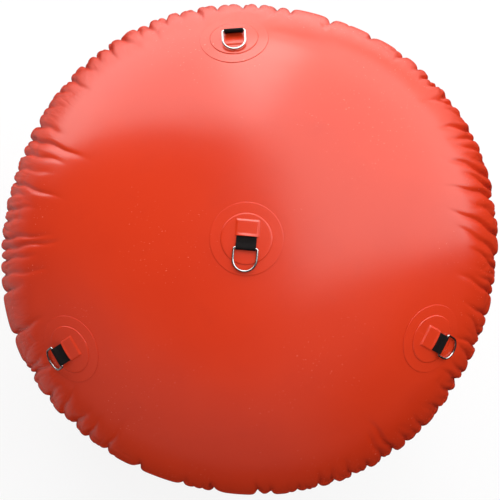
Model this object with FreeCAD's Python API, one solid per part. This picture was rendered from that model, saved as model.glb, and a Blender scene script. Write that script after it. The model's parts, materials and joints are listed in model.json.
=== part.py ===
"""Inflatable PVC signal buoy: an air-filled drum with four webbing D-ring fittings.

Millimetres, +Z up. The buoy stands on its plain end with the ring end up, and the
origin is the middle of its footprint. Both ends are flat discs of coated fabric, cut
larger than the drum and gathered into the weld with a rolled side wall. Blown up, a
disc that cannot stretch takes the sagging curve of a foil balloon: at radius r its
slope is asin((r/R)^2), where R is the radius of the drum's belly. The side wall
carries on the same curve over the shoulder, down to the straight part of the drum.
Places on this curve are given by u, the square root of the slope in radians.
"""
import FreeCAD, Part
import math
import os

os.makedirs("parts", exist_ok=True)

Vector = FreeCAD.Vector
Rotation = FreeCAD.Rotation
Placement = FreeCAD.Placement
ORIGIN = Vector(0, 0, 0)
OUT = Vector(1, 0, 0)
ACROSS = Vector(0, 1, 0)
UP = Vector(0, 0, 1)

# The drum
BELLY_RADIUS = 550.0
OVERALL_HEIGHT = 1250.0
END_DISC_RADIUS = 600.0       # of the flat disc, before it is blown up
FABRIC = 0.9                  # thickness of the coated cloth
WELD_GAP = 0.1                # bond line between two sheets, one on the other
RIM_TAPE_WIDTH = 42.0         # over the rim weld, measured along the skin
RIM_TAPE_LAP = 6.0            # of it, on the end disc's side of the weld
WALL_LAP_WIDTH = 40.0         # of the upright weld that closes the side wall
WALL_LAP_ANGLE = 35.0         # where it stands, degrees from +X

# The fittings: base patch, upper patch with a slit, webbing loop and ring
FITTING_CIRCLE_RADIUS = 423.0  # of the outer fittings' middles, measured on the flat disc
BASE_PATCH_RADIUS = 69.0
UPPER_PATCH_RADIUS = 48.5
WEBBING_WIDTH = 38.0
WEBBING_PLY = 1.4             # the loop is two plies
TAIL_LENGTH = 28.0            # of webbing welded in under the upper patch
LOOP_LENGTH = 23.0            # from the slit to the ring's bar, along the webbing
LOOP_BEND_RADIUS = 6.0        # of a loop's middle line where it rises from the slit
POCKET_SLOPE = 3.5            # width of the upper patch's slope round the tail
LIP_WIDTH = 3.0               # of the upper patch's bead along the slit
LIP_RISE = 1.2                # of that bead above the pocket, at its middle

RING_WIRE_RADIUS = 2.25
RING_INNER_WIDTH = 40.0
RING_DEPTH = 43.0             # from the bar's middle line to that of the D's crown
RING_CORNER = 3.0             # bend between bar and side, at the wire's middle line
PIN_CLEARANCE = 0.1           # between the bar and the webbing's eye
REST_GAP = 1.2                # under a lying ring's crown: its legs rest on the upper patch's edge
RING_SWING = 160.0            # from lying on the skin up and over, degrees

# The inflation valve, on the straight part of the side wall
VALVE_ANGLE = 118.0           # degrees from +X
VALVE_DROP = 90.0             # from the shoulder's foot down to the valve's middle
VALVE_PATCH_RADIUS = 62.0
VALVE_FLANGE_RADIUS = 36.0
VALVE_FLANGE_THICKNESS = 2.4  # where the flange is thinnest
VALVE_NECK_RADIUS = 21.0
VALVE_NECK_HEIGHT = 9.0
CAP_WALL = 2.6
CAP_CLEARANCE = 0.3
CAP_TOP = 2.8
CAP_CHAMFER = 0.8
CAP_GRIPS = 12
CAP_GRIP_RADIUS = 2.0
CAP_GRIP_DEPTH = 1.2


def simpson(value, end, steps=48):
    """The integral of value from 0 to end."""
    step = end / steps
    total = value(0.0) + value(end)
    for i in range(1, steps):
        total += value(i * step) * (4 if i % 2 else 2)
    return total * step / 3


def root_sine(u):
    return math.sqrt(math.sin(u * u))


def skin_drop(u):
    """Depth of the skin below the crown."""
    return BELLY_RADIUS * simpson(lambda v: root_sine(v) * v, u)


def skin_arc(u):
    """Distance along the skin from the crown."""
    return BELLY_RADIUS * simpson(lambda v: v / root_sine(v) if v else 1.0, u)


def solve(value, target, low, high):
    """The place between low and high where a rising value meets the target."""
    for _ in range(50):
        middle = (low + high) / 2
        if value(middle) < target:
            low = middle
        else:
            high = middle
    return (low + high) / 2


BELLY_U = math.sqrt(math.pi / 2)


def u_at_arc(distance):
    """Where the skin is this far from the crown, measured along itself."""
    return solve(skin_arc, distance, 0.0, BELLY_U)


def u_at_radius(radius):
    """Where the skin is this far from the axis."""
    return solve(lambda u: BELLY_RADIUS * root_sine(u), radius, 0.0, BELLY_U)


SEAM_U = u_at_arc(END_DISC_RADIUS)
TAPE_START_U = u_at_arc(END_DISC_RADIUS - RIM_TAPE_LAP)
TAPE_END_U = u_at_arc(END_DISC_RADIUS - RIM_TAPE_LAP + RIM_TAPE_WIDTH)
SHOULDER_DROP = skin_drop(BELLY_U)


def skin_point(u, lift=0.0):
    """A point of the ring end's section, in XZ, lifted off the skin along its normal."""
    slope = u * u
    radius = BELLY_RADIUS * root_sine(u) + lift * math.sin(slope)
    return Vector(radius, 0, OVERALL_HEIGHT - skin_drop(u) + lift * math.cos(slope))


def skin_edge(u_start, u_end, lift=0.0, spans=14):
    """The section's curve between two places."""
    points = []
    for i in range(spans + 1):
        points.append(skin_point(u_start + (u_end - u_start) * i / spans, lift))
    curve = Part.BSplineCurve()
    curve.interpolate(points)
    return curve.toShape()


def spun(edges, degrees=360.0):
    """The solid that a closed section sweeps about the drum's axis, from +X on."""
    face = Part.Face(Part.Wire(Part.__sortEdges__(edges)))
    return face.revolve(ORIGIN, UP, degrees)


def upside_down(shape):
    """The same piece at the other end of the drum."""
    return shape.mirror(Vector(0, 0, OVERALL_HEIGHT / 2), UP)


def end_panel():
    """The ring end: a welded disc, domed by the air behind it."""
    seam = skin_point(SEAM_U)
    crown = skin_point(0.0)
    hub = Vector(0, 0, seam.z)
    return spun([skin_edge(0.0, SEAM_U), Part.makeLine(seam, hub), Part.makeLine(hub, crown)])


def side_wall():
    """The rolled wall, with a shoulder at each end."""
    seam = skin_point(SEAM_U)
    belly = skin_point(BELLY_U)
    middle = OVERALL_HEIGHT / 2
    half = spun([
        Part.makeLine(Vector(0, 0, seam.z), seam),
        skin_edge(SEAM_U, BELLY_U),
        Part.makeLine(belly, Vector(belly.x, 0, middle)),
        Part.makeLine(Vector(belly.x, 0, middle), Vector(0, 0, middle)),
        Part.makeLine(Vector(0, 0, middle), Vector(0, 0, seam.z)),
    ])
    return half.fuse(upside_down(half)).removeSplitter()


def skin_layer(u_start, u_end, low, high, degrees=360.0):
    """A sheet on the skin, between two heights above it."""
    edges = [skin_edge(u_start, u_end, low), skin_edge(u_start, u_end, high)]
    for u in (u_start, u_end):
        edges.append(Part.makeLine(skin_point(u, low), skin_point(u, high)))
    return spun(edges, degrees)


def rim_tape():
    """The strip welded over the joint between end disc and wall."""
    return skin_layer(TAPE_START_U, TAPE_END_U, WELD_GAP, WELD_GAP + FABRIC)


def wall_lap():
    """The upright lap that closes the rolled wall, between the two rim tapes."""
    degrees = math.degrees(WALL_LAP_WIDTH / BELLY_RADIUS)
    shoulder = skin_layer(TAPE_END_U, BELLY_U, WELD_GAP, WELD_GAP + FABRIC, degrees)
    inner = skin_point(BELLY_U, WELD_GAP)
    outer = skin_point(BELLY_U, WELD_GAP + FABRIC)
    depth = Vector(0, 0, OVERALL_HEIGHT / 2 - inner.z)
    section = Part.makePolygon([inner, outer, outer + depth, inner + depth, inner])
    half = shoulder.fuse(Part.Face(section).revolve(ORIGIN, UP, degrees))
    half.rotate(ORIGIN, UP, WALL_LAP_ANGLE - degrees / 2)
    return half.fuse(upside_down(half)).removeSplitter()


LOOP_THICKNESS = 2 * WEBBING_PLY
EYE_RADIUS = RING_WIRE_RADIUS + PIN_CLEARANCE
FOLD_RADIUS = EYE_RADIUS + WEBBING_PLY
BASE_TOP = WELD_GAP + FABRIC                     # heights above the skin
UPPER_FOOT = BASE_TOP + WELD_GAP
UPPER_TOP = UPPER_FOOT + FABRIC
TAIL_MIDDLE = UPPER_FOOT + LOOP_THICKNESS / 2
TAIL_TOP = UPPER_FOOT + LOOP_THICKNESS


def moved(x, y, z):
    return Placement(Vector(x, y, z), Rotation())


def raised(degrees):
    """A turn that lifts X towards Z."""
    return Placement(ORIGIN, Rotation(-ACROSS, degrees))


def strip(length, thickness, width):
    """A straight run of webbing along +X, about the X axis."""
    return Part.makeBox(length, width, thickness, Vector(0, -width / 2, -thickness / 2))


def bend(radius, degrees, thickness, width):
    """A run of webbing that turns up from +X towards +Z."""
    corners = []
    for y, z in ((-1, -1), (1, -1), (1, 1), (-1, 1), (-1, -1)):
        corners.append(Vector(0, y * width / 2, z * thickness / 2))
    section = Part.Face(Part.makePolygon(corners))
    return section.revolve(Vector(0, 0, radius), -ACROSS, degrees)


class Fitting:
    """One ring fitting. Its own frame has X along the loop and Z away from the drum."""

    def __init__(self, name, distance, angle, slit, rise):
        self.name = name
        self.distance = distance    # from the crown to the patches' middle, along the skin
        self.angle = angle          # that its loop points to, degrees from +X about Z
        self.slit = slit            # the slit's place along X
        self.rise = rise            # of the loop from the skin, degrees: past 90 it flops back

    def frame(self, angle=None):
        """The placement of the patches' middle, touching the skin."""
        u = u_at_arc(self.distance)
        turn = Rotation(UP, self.angle if angle is None else angle)
        tilt = Rotation(ACROSS, math.degrees(u * u))
        return Placement(turn.multVec(skin_point(u)), turn.multiply(tilt))

    def layer(self, low, high):
        """A sheet on the skin that is wider than the patches, with the fitting on +X."""
        reach = 1.3 * BASE_PATCH_RADIUS
        u_end = u_at_arc(self.distance + reach)
        if self.distance > reach:
            half_angle = math.degrees(reach / skin_point(u_at_arc(self.distance)).x)
            sheet = skin_layer(u_at_arc(self.distance - reach), u_end, low, high, 2 * half_angle)
            sheet.rotate(ORIGIN, UP, -half_angle)
            return sheet
        return spun([
            skin_edge(0.0, u_end, low),
            skin_edge(0.0, u_end, high),
            Part.makeLine(skin_point(u_end, low), skin_point(u_end, high)),
            Part.makeLine(skin_point(0.0, low), skin_point(0.0, high)),
        ])

    def patch(self, radius, low, high):
        """A round patch that follows the skin, cut square to it."""
        cutter = Part.makeCylinder(radius, 2 * radius, Vector(0, 0, -radius), UP)
        cutter.Placement = self.frame(0.0)
        sheet = self.layer(low, high).common(cutter)
        sheet.rotate(ORIGIN, UP, self.angle)
        return sheet.Solids[0]

    def base_patch(self):
        return self.patch(BASE_PATCH_RADIUS, WELD_GAP, BASE_TOP)

    def mouth(self):
        """The placement of the webbing's middle line where it leaves the slit."""
        return self.frame().multiply(moved(self.slit, 0, TAIL_MIDDLE))

    def bar(self):
        """The placement of the ring's bar, with X on along the loop."""
        if self.rise:
            place = self.mouth().multiply(moved(0, 0, LOOP_BEND_RADIUS)).multiply(raised(self.rise))
            run = LOOP_LENGTH - LOOP_BEND_RADIUS * math.radians(self.rise)
            return place.multiply(moved(run, 0, -LOOP_BEND_RADIUS))
        climb = math.degrees(math.asin((FOLD_RADIUS - LOOP_THICKNESS / 2) / LOOP_LENGTH))
        return self.mouth().multiply(raised(climb)).multiply(moved(LOOP_LENGTH, 0, 0))

    def webbing(self):
        """Two plies from the tail through the slit, opening into an eye round the bar."""
        tail = strip(TAIL_LENGTH, LOOP_THICKNESS, WEBBING_WIDTH)
        tail.Placement = self.mouth().multiply(moved(-TAIL_LENGTH, 0, 0))
        run = LOOP_LENGTH
        pieces = []
        if self.rise:
            run -= LOOP_BEND_RADIUS * math.radians(self.rise)
            curve = bend(LOOP_BEND_RADIUS, self.rise, LOOP_THICKNESS, WEBBING_WIDTH)
            curve.Placement = self.mouth()
            pieces.append(curve)
        straight = strip(run, LOOP_THICKNESS, WEBBING_WIDTH)
        straight.Placement = self.bar().multiply(moved(-run, 0, 0))
        fold = Part.makeCylinder(FOLD_RADIUS, WEBBING_WIDTH, ACROSS * (-WEBBING_WIDTH / 2), ACROSS)
        fold.Placement = self.bar()
        eye = Part.makeCylinder(EYE_RADIUS, 2 * WEBBING_WIDTH, ACROSS * -WEBBING_WIDTH, ACROSS)
        eye.Placement = self.bar()
        return tail.multiFuse(pieces + [straight, fold]).cut(eye).removeSplitter()

    def pocket(self):
        """The upper patch where it stands up over the tail: sloped sides, and a lip at the slit."""
        foot_x = -TAIL_LENGTH - POCKET_SLOPE
        foot_y = WEBBING_WIDTH / 2 + POCKET_SLOPE
        top_y = WEBBING_WIDTH / 2 + FABRIC / 2
        top_x = -TAIL_LENGTH - FABRIC / 2
        height = TAIL_TOP + FABRIC - UPPER_FOOT
        depth = height + 2 * POCKET_SLOPE
        rings = []
        for x, y, z in ((foot_x, foot_y, height - depth), (foot_x, foot_y, FABRIC), (top_x, top_y, height)):
            corners = [Vector(x, -y, z), Vector(0, -y, z), Vector(0, y, z), Vector(x, y, z), Vector(x, -y, z)]
            rings.append(Part.makePolygon(corners))
        block = Part.makeLoft(rings, True, True)
        arch = Part.Arc(Vector(0, -top_y, 0), Vector(0, 0, LIP_RISE), Vector(0, top_y, 0)).toShape()
        chord = Part.makeLine(Vector(0, top_y, 0), Vector(0, -top_y, 0))
        lip = Part.Face(Part.Wire([arch, chord])).extrude(Vector(-LIP_WIDTH, 0, 0))
        lip.translate(Vector(0, 0, height))
        block = block.fuse(lip)
        block.Placement = self.frame().multiply(moved(self.slit, 0, UPPER_FOOT))
        return block

    def upper_patch(self):
        """A disc over the base patch with a raised pocket for the tail, open at the slit."""
        disc = self.patch(UPPER_PATCH_RADIUS, UPPER_FOOT, UPPER_TOP)
        below = self.layer(-2 * BASE_PATCH_RADIUS / 3, UPPER_FOOT)
        below.rotate(ORIGIN, UP, self.angle)
        solid = disc.fuse(self.pocket().cut(below))
        return solid.cut(self.webbing()).removeSplitter()

    def lying_angle(self):
        """How far the ring turns about its bar, from the loop's line, until it lies down."""
        floor = UPPER_TOP if self.rise > 90 else BASE_TOP
        rest = floor + RING_WIRE_RADIUS + REST_GAP
        side = 1 if self.rise > 90 else -1

        def sunk(degrees):
            crown = self.bar().multiply(raised(side * degrees)).multVec(Vector(RING_DEPTH, 0, 0))
            u = u_at_radius(math.hypot(crown.x, crown.y))
            return (OVERALL_HEIGHT - skin_drop(u) - crown.z) * math.cos(u * u)

        return side * solve(sunk, -rest, 0.0, 70.0)

    def ring_place(self):
        return self.bar().multiply(raised(self.lying_angle()))

    def hinge_axis(self):
        """The direction about which the ring swings up off the skin."""
        return self.bar().Rotation.multVec(ACROSS if self.rise > 90 else -ACROSS)

    def ring(self):
        solid = d_ring()
        solid.Placement = self.ring_place()
        return solid


def d_ring():
    """A D of round wire, welded shut: its bar on Y, its crown along +X."""
    half = RING_INNER_WIDTH / 2 + RING_WIRE_RADIUS
    corner = RING_CORNER
    shoulder = RING_DEPTH - half
    nub = corner * (1 - math.sqrt(0.5))
    path = Part.Wire([
        Part.makeLine(Vector(0, corner - half, 0), Vector(0, half - corner, 0)),
        Part.Arc(Vector(0, half - corner, 0), Vector(nub, half - nub, 0), Vector(corner, half, 0)).toShape(),
        Part.makeLine(Vector(corner, half, 0), Vector(shoulder, half, 0)),
        Part.Arc(Vector(shoulder, half, 0), Vector(RING_DEPTH, 0, 0), Vector(shoulder, -half, 0)).toShape(),
        Part.makeLine(Vector(shoulder, -half, 0), Vector(corner, -half, 0)),
        Part.Arc(Vector(corner, -half, 0), Vector(nub, nub - half, 0), Vector(0, corner - half, 0)).toShape(),
    ])
    start = Vector(0, corner - half, 0)
    wire = Part.Wire(Part.makeCircle(RING_WIRE_RADIUS, start, ACROSS))
    return path.makePipeShell([wire], True, False)


def valve_place():
    """On the wall: Z out from the drum."""
    turn = Rotation(UP, VALVE_ANGLE)
    height = OVERALL_HEIGHT - SHOULDER_DROP - VALVE_DROP
    return Placement(turn.multVec(Vector(BELLY_RADIUS, 0, height)), turn.multiply(Rotation(ACROSS, 90)))


def drum_cylinder(lift):
    return Part.makeCylinder(BELLY_RADIUS + lift, OVERALL_HEIGHT)


def valve_patch():
    """A round doubler welded on the wall under the valve."""
    cutter = Part.makeCylinder(VALVE_PATCH_RADIUS, 2 * VALVE_PATCH_RADIUS, UP * -VALVE_PATCH_RADIUS, UP)
    cutter.Placement = valve_place()
    return drum_cylinder(BASE_TOP).cut(drum_cylinder(WELD_GAP)).common(cutter).Solids[0]


def valve_body():
    """A flange that sits on the doubler's curve, and the neck that the cap closes."""
    top = BASE_TOP + VALVE_FLANGE_THICKNESS
    flange = Part.makeCylinder(VALVE_FLANGE_RADIUS, 2 * top, UP * -top, UP)
    neck = Part.makeCylinder(VALVE_NECK_RADIUS, VALVE_NECK_HEIGHT)
    solid = flange.fuse(neck)
    solid.Placement = valve_place()
    return solid.cut(drum_cylinder(BASE_TOP + WELD_GAP)).removeSplitter()


def valve_cap():
    """A screw cap over the neck, with finger grips round it."""
    inner = VALVE_NECK_RADIUS + CAP_CLEARANCE
    outer = inner + CAP_WALL
    base = BASE_TOP + VALVE_FLANGE_THICKNESS + CAP_CLEARANCE
    top = VALVE_NECK_HEIGHT + CAP_CLEARANCE + CAP_TOP
    cap = Part.makeCylinder(outer, top - base, UP * base, UP)
    cap = cap.makeChamfer(CAP_CHAMFER, [edge for edge in cap.Edges if edge.BoundBox.ZMin > top - 0.01])
    cuts = [Part.makeCylinder(inner, VALVE_NECK_HEIGHT + CAP_CLEARANCE)]
    for i in range(CAP_GRIPS):
        turn = Rotation(UP, 360.0 * i / CAP_GRIPS)
        place = turn.multVec(OUT * (outer - CAP_GRIP_DEPTH + CAP_GRIP_RADIUS))
        cuts.append(Part.makeCylinder(CAP_GRIP_RADIUS, 2 * top, place, UP))
    cap = cap.cut(cuts)
    cap.Placement = valve_place()
    return cap


def save(name, shape):
    shape.exportStep("parts/" + name + ".step")
    print(name, "valid" if shape.isValid() else "NOT VALID", len(shape.Solids), round(shape.Volume))


FITTINGS = [
    Fitting("centre", 0.0, 265.0, -5.0, 0.0),
    Fitting("left", FITTING_CIRCLE_RADIUS, 211.3, 6.0, 28.0),
    Fitting("right", FITTING_CIRCLE_RADIUS, 332.1, 6.0, 0.0),
    Fitting("far", FITTING_CIRCLE_RADIUS, 93.7, 6.0, 165.0),
]

ring_end = end_panel()
tape = rim_tape()
save("ring_end_panel", ring_end)
save("plain_end_panel", upside_down(ring_end))
save("side_wall", side_wall())
save("ring_end_rim_tape", tape)
save("plain_end_rim_tape", upside_down(tape))
save("side_wall_lap", wall_lap())
save("valve_patch", valve_patch())
save("valve_body", valve_body())
save("valve_cap", valve_cap())

for fitting in FITTINGS:
    save(fitting.name + "_base_patch", fitting.base_patch())
    save(fitting.name + "_upper_patch", fitting.upper_patch())
    save(fitting.name + "_webbing", fitting.webbing())
    save(fitting.name + "_ring", fitting.ring())
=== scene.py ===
# %% [markdown]
# # A signal buoy in Blender
#
# This buoy is a drum of coated cloth, blown up hard with air, that floats upright as a
# bright mark on the water. One end carries four webbing fittings with steel rings. The
# engineering model has every part at its true size and place, and it is loaded here as a
# fixed frame. The lesson dresses it: cloth that puckers at its welds, woven webbing, wire
# rings, a screw valve, and the finishes and light that make them look real.

import bpy
import bmesh
import json
import math
import random
import numpy as np
from mathutils import Matrix, Vector


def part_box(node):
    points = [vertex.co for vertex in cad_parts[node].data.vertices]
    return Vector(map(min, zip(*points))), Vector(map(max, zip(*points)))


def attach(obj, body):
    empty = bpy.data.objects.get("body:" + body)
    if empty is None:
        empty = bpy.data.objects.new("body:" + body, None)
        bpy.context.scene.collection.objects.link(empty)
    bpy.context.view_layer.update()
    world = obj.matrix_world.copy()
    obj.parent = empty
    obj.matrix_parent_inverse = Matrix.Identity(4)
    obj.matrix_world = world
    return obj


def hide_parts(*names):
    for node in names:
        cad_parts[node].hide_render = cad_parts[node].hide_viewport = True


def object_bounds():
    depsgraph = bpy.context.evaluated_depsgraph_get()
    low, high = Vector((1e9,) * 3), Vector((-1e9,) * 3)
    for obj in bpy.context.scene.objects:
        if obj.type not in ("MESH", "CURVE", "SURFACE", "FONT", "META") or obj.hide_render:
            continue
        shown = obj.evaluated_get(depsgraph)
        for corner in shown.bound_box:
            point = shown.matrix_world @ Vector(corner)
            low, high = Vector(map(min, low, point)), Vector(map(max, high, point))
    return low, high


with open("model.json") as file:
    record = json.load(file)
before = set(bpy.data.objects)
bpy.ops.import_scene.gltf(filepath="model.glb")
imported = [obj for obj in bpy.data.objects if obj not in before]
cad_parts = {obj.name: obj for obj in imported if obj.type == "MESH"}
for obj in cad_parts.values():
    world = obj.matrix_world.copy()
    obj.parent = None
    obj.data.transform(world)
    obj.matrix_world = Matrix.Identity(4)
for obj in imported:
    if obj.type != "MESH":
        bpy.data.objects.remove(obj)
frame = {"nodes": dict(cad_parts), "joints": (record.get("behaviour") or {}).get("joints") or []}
cad_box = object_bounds()
print("nodes:", len(frame["nodes"]), "in a box from", cad_box[0], "to", cad_box[1])

# %% [markdown]
# ## The camera
#
# The camera comes first, because everything after it is judged through it. It looks down
# on the ring end from a little to one side. A look-at constraint would do, but for a view
# so close to straight down it is safer to write the camera's three axes out: backwards,
# right and up, where up in the picture is the drum's +Y.

# %% Camera
elevation = math.radians(87.103)
azimuth = math.radians(15.364)
DISTANCE = 1.7
AIM_BELOW_TOP = 0.3295      # the camera aims at the middle of the belly's plane
aim = Vector((0.0022, -0.0052, cad_box[1][2] - AIM_BELOW_TOP))
back = Vector((
    math.cos(elevation) * math.sin(azimuth),
    -math.cos(elevation) * math.cos(azimuth),
    math.sin(elevation),
))
right = Vector((0, 1, 0)).cross(back).normalized()
turn = Matrix((right, back.cross(right), back)).transposed()

camera = bpy.data.objects.new("Camera", bpy.data.cameras.new("Camera"))
camera.data.lens = 53.43
camera.matrix_world = Matrix.Translation(aim + DISTANCE * back) @ turn.to_4x4()
bpy.context.scene.collection.objects.link(camera)
bpy.context.scene.camera = camera
print("camera at", camera.location)

# %% [markdown]
# ## Light
#
# Glossy cloth shows what is around it, so the softboxes are placed by what the dome
# mirrors. Two big ones lean over the far side and the right of the drum, and their near
# edges make the edge of the broad pale sheen. They are so large that they give most of
# the plain light as well. Two fills brighten the near side, a wide soft one and a small
# one overhead, and neither is mirrored. An area lamp shines from one face only, so where
# its two sides would turn that face away from the drum, they are swapped.

# %% Lamps
scene = bpy.context.scene
scene.view_settings.view_transform = "Standard"


def softbox(name, corner, across, down, radiance, mirrored=True):
    """A rectangle from a corner along two sides. Radiance is how bright it looks: 1 is white."""
    corner, across, down = Vector(corner), Vector(across), Vector(down)
    middle = corner + (across + down) / 2
    if across.cross(down).dot(middle - aim) < 0:
        across, down = down, across
    backwards = across.cross(down)
    sides = [across.normalized(), backwards.cross(across).normalized(), backwards.normalized()]
    light = bpy.data.lights.new(name, "AREA")
    light.shape = "RECTANGLE"
    light.size = across.length
    light.size_y = down.length
    light.energy = radiance * math.pi * light.size * light.size_y
    obj = bpy.data.objects.new(name, light)
    obj.matrix_world = Matrix.Translation(middle) @ Matrix(sides).transposed().to_4x4()
    obj.visible_glossy = mirrored
    scene.collection.objects.link(obj)
    print(name, "of", round(light.energy), "W at", middle)


softbox("Far softbox", (0.08, 3.40, 7.61), (-11.2, 1.39, -7.37), (4.33, 12.0, -4.35), 2.5)
softbox("Right softbox", (0.89, -0.56, 7.89), (10.96, 1.02, -7.15), (-3.29, 13.95, -3.06), 2.2)
softbox("Near fill", (-7.6, -1.6, 0.4), (10.2, -5.1, 0.0), (0.3, 0.6, 6.6), 0.95, mirrored=False)
softbox("Overhead fill", (0.2, -2.6, 3.8), (2.4, 0.0, 0.0), (0.0, 2.0, 0.0), 0.9, mirrored=False)

# %% [markdown]
# ## Shader arithmetic
#
# A finish is a small calculation for every point of a surface. Nodes can be wired one by
# one, but long chains of Math nodes are hard to read. The class below wraps one socket,
# so that ordinary Python arithmetic makes the Math nodes, and one method adds any other
# node: its settings first, then the values or links of its sockets.

# %% Shader arithmetic


class Shade:
    """One output socket of a material's node tree."""

    def __init__(self, tree, socket=None):
        self.tree = tree
        self.socket = socket

    def node(self, kind, settings=None, inputs=None, output=0):
        made = self.tree.nodes.new("ShaderNode" + kind)
        for name, value in (settings or {}).items():
            setattr(made, name, value)
        for name, value in (inputs or {}).items():
            if isinstance(value, Shade):
                self.tree.links.new(value.socket, made.inputs[name])
            else:
                made.inputs[name].default_value = value
        return Shade(self.tree, made.outputs[output])

    def math(self, operation, first, second=0.0, clamp=False):
        settings = {"operation": operation, "use_clamp": clamp}
        return self.node("Math", settings, {0: first, 1: second})

    def __add__(self, other):
        return self.math("ADD", self, other)

    def __radd__(self, other):
        return self.math("ADD", other, self)

    def __sub__(self, other):
        return self.math("SUBTRACT", self, other)

    def __rsub__(self, other):
        return self.math("SUBTRACT", other, self)

    def __mul__(self, other):
        return self.math("MULTIPLY", self, other)

    def __rmul__(self, other):
        return self.math("MULTIPLY", other, self)

    def clamped(self):
        return self.math("ADD", self, 0.0, clamp=True)

    def at_most(self, other):
        return self.math("MINIMUM", self, other)

    def size(self):
        return self.math("ABSOLUTE", self)

    def sine(self):
        return self.math("SINE", self)

    def step(self, low, high):
        """0 below the low value, 1 above the high one, smooth between."""
        settings = {"interpolation_type": "SMOOTHSTEP"}
        return self.node("MapRange", settings, {"Value": self, "From Min": low, "From Max": high})

    def mix(self, colour_a, colour_b):
        """From one colour to another as this value goes from 0 to 1."""
        settings = {"data_type": "RGBA"}
        return self.node("Mix", settings, {"Factor": self, 6: colour_a, 7: colour_b}, output=2)


def colour(red, green, blue):
    return (red, green, blue, 1.0)


def new_finish(name, **constants):
    """A material with a Principled shader: its constants set, and a Shade to build with."""
    material = bpy.data.materials.new(name)
    material.use_nodes = True
    tree = material.node_tree
    shader = tree.nodes["Principled BSDF"]
    for socket, value in constants.items():
        shader.inputs[socket.replace("_", " ")].default_value = value
    print("finish", name)
    return material, Shade(tree), shader


def feed(shader, **values):
    """Links what changes over the surface to the shader's sockets."""
    for socket, value in values.items():
        value.tree.links.new(value.socket, shader.inputs[socket.replace("_", " ")])


def object_place(shade):
    return shade.node("TexCoord", output=3)


def noise(shade, place, scale, detail=2.0, roughness=0.5, stretch=None):
    if stretch:
        place = shade.node("VectorMath", {"operation": "MULTIPLY"}, {0: place, 1: stretch})
    inputs = {"Vector": place, "Scale": scale, "Detail": detail, "Roughness": roughness}
    return shade.node("TexNoise", None, inputs)


def bump(shade, height, strength, distance, below=None):
    inputs = {"Height": height, "Strength": strength, "Distance": distance}
    if below:
        inputs["Normal"] = below
    return shade.node("Bump", None, inputs)


# %% [markdown]
# ## The floor
#
# The floor is a plain square. Light Path tells the shader who is asking: to the camera the
# floor is pale and glows towards white, but it still takes the drum's shadow. In the drum's
# reflections its colour is painted light and shade: pale on the far side, grey on the far
# right and on the left, and nearly black on the near side, a painted shadow that keeps the
# glossy rim from going milky.

# %% Floor and background
FLOOR_HALF = 14.0
floor_mesh = bpy.data.meshes.new("Floor")
bm = bmesh.new()
bmesh.ops.create_grid(bm, x_segments=1, y_segments=1, size=FLOOR_HALF)
bm.to_mesh(floor_mesh)
bm.free()
floor = bpy.data.objects.new("Floor", floor_mesh)
scene.collection.objects.link(floor)

floor_finish, shade, shader = new_finish("Floor", Roughness=1.0, Specular_IOR_Level=0.0)
floor_mesh.materials.append(floor_finish)
floor_y = shade.node("SeparateXYZ", None, {0: object_place(shade)}, 1)
floor_x = shade.node("SeparateXYZ", None, {0: object_place(shade)})
# Painted light and shade, seen only in the drum's reflections: a nearly black painted shadow on the
# near side, grey on the left, pale on the far side and grey on the far right.
far_side = (floor_y + 0.35 * floor_x.at_most(0.0)).step(0.7, 2.2)
left_floor = (floor_x * -1.0).step(0.9, 1.5) * floor_y.step(-2.4, -0.8)
painted_far_light_and_shade = floor_x.step(0.5, 2.5).mix(colour(0.90, 0.90, 0.90), colour(0.45, 0.45, 0.45))
painted_near_shade = left_floor.mix(colour(0.012, 0.012, 0.012), colour(0.26, 0.26, 0.26))
feed(shader, Base_Color=far_side.mix(painted_near_shade, painted_far_light_and_shade))
seen = shade.node("LightPath")
white = shade.node("Emission", None, {"Color": colour(1, 1, 1), "Strength": 1.0})
pale = shade.node("BsdfDiffuse", None, {"Color": colour(0.9, 0.9, 0.9)})
lifted = shade.node("MixShader", None, {0: 0.80, 1: pale, 2: white})
in_mirrors = Shade(shade.tree, shader.outputs[0])
surface = shade.node("MixShader", None, {0: seen, 1: in_mirrors, 2: lifted})
shade.tree.links.new(surface.socket, shade.tree.nodes["Material Output"].inputs["Surface"])

world = bpy.data.worlds.new("Room")
scene.world = world
world.use_nodes = True
room = Shade(world.node_tree)
background = world.node_tree.nodes["Background"]
background.inputs["Color"].default_value = (1, 1, 1, 1)
background.inputs["Strength"].default_value = 0.05
backdrop = room.node("Background", None, {"Color": colour(1, 1, 1), "Strength": 1.0})
shown = room.node("MixShader", None, {
    0: room.node("LightPath"),
    1: Shade(world.node_tree, background.outputs[0]),
    2: backdrop,
})
world.node_tree.links.new(shown.socket, world.node_tree.nodes["World Output"].inputs["Surface"])
print("floor and background are ready")

# %% [markdown]
# ## The blown-up skin
#
# Two flat discs and a rolled wall are welded at the rims and filled with air. A disc that
# cannot stretch takes the sagging curve of a foil balloon: at radius r its slope is
# asin((r / R)^2), where R is the belly's radius. Every sheet of the buoy lies on this
# skin, so it is worked out once, as a table of distance along the skin against radius,
# depth and slope. A place on the drum is then an angle and a distance from the crown.

# %% The smooth section
belly_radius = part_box("side_wall")[1].x
drum_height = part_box("ring_end_panel")[1].z
RIM = 0.600             # from the crown to the rim weld: the flat disc's radius
FABRIC = 0.0009
BOND = 0.0001           # between two welded sheets

u_table = np.linspace(0.0, math.sqrt(math.pi / 2), 4001)
root_sine = np.sqrt(np.sin(u_table ** 2))


def running_total(values):
    return np.concatenate(([0.0], np.cumsum((values[1:] + values[:-1]) / 2 * np.diff(u_table))))


stretch = np.ones_like(u_table)
stretch[1:] = u_table[1:] / root_sine[1:]
arc_table = belly_radius * running_total(stretch)
drop_table = belly_radius * running_total(root_sine * u_table)
BELLY = arc_table[-1]                                    # from the crown to the belly
WHOLE = 2 * BELLY + drum_height - 2 * drop_table[-1]     # from crown to crown


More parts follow.
